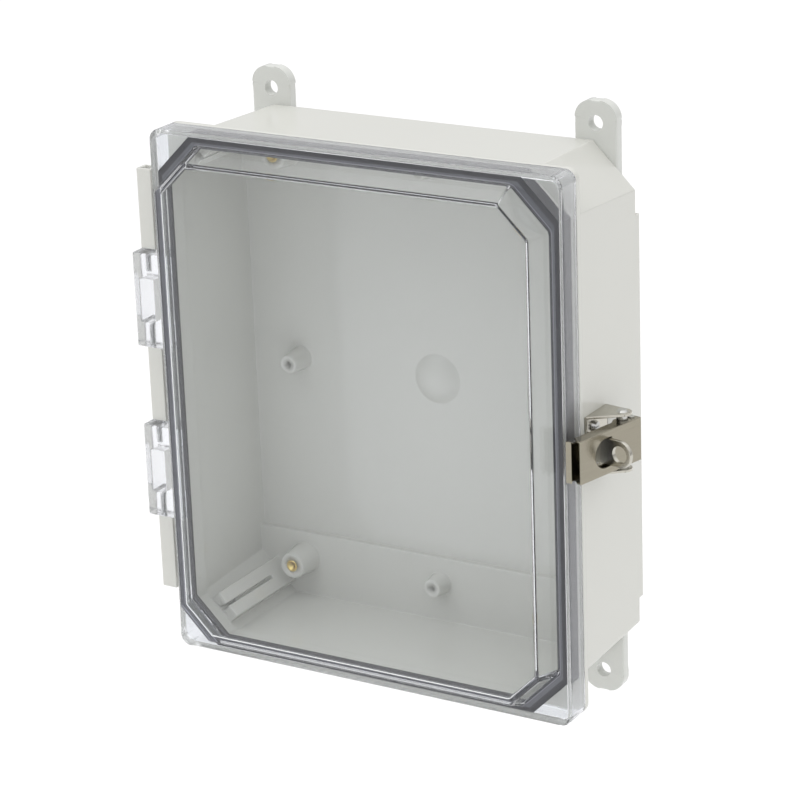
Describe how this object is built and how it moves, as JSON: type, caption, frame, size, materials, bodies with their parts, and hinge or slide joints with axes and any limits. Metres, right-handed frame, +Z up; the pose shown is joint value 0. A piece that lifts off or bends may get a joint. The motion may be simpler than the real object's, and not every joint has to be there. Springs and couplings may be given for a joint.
{
  "type": "hinged polycarbonate enclosure",
  "caption": "Wall-mounted light grey polycarbonate box with mounting feet, a clear hinged cover with a raised octagonal window, and a steel draw latch that takes a padlock.",
  "frame": {"origin": "centre of the plane that the four mounting feet stand on, midway between the four foot holes", "axes": "+X towards the latch side, +Y into the wall, +Z up; the cover faces -Y"},
  "size_m": [0.3145, 0.1105, 0.3536],
  "materials": {
    "base_plastic": "satin light grey moulding",
    "clear_cover": "clear polished polycarbonate",
    "gasket_rubber": "matt dark grey",
    "foot_plastic": "satin light grey moulding",
    "screw_steel": "plain stainless",
    "pin_steel": "drawn stainless",
    "latch_steel": "polished stainless sheet",
    "insert_brass": "turned brass"
  },
  "bodies": {
    "base": {"base_shell": "base_plastic", "foot_top_left": "foot_plastic", "foot_top_right": "foot_plastic", "foot_bottom_left": "foot_plastic", "foot_bottom_right": "foot_plastic", "foot_screw_top_left": "screw_steel", "foot_screw_top_right": "screw_steel", "foot_screw_bottom_left": "screw_steel", "foot_screw_bottom_right": "screw_steel", "insert_top_left": "insert_brass", "insert_top_right": "insert_brass", "insert_bottom_left": "insert_brass", "insert_bottom_right": "insert_brass", "latch_bracket": "latch_steel", "padlock_staple": "latch_steel", "pivot_rivet_top": "pin_steel", "pivot_rivet_bottom": "pin_steel", "latch_screw_top": "screw_steel", "latch_screw_bottom": "screw_steel", "latch_nut_top": "screw_steel", "latch_nut_bottom": "screw_steel", "sealing_washer_top": "gasket_rubber", "sealing_washer_bottom": "gasket_rubber"},
    "cover": {"cover": "clear_cover", "gasket": "gasket_rubber", "hinge_pin_upper_top": "pin_steel", "hinge_pin_upper_bottom": "pin_steel", "hinge_pin_lower_top": "pin_steel", "hinge_pin_lower_bottom": "pin_steel"},
    "lever": {"latch_lever": "latch_steel", "hook_pin": "pin_steel"},
    "hook": {"latch_hook": "latch_steel"}
  },
  "joints": [
    {"name": "cover_hinge", "type": "hinge", "parent": "base", "child": "cover", "pos_m": [-0.147, -0.077, 0], "axis": [0, 0, -1], "range_deg": [0, 175]},
    {"name": "lever_pivot", "type": "hinge", "parent": "base", "child": "lever", "pos_m": [0.144, -0.05343, 0], "axis": [0, 0, 1], "range_deg": [0, 140]},
    {"name": "hook_pivot", "type": "hinge", "parent": "lever", "child": "hook", "pos_m": [0.14719, -0.04852, 0], "axis": [0, 0, 1], "range_deg": [-2.6, 2.5]}
  ]
}
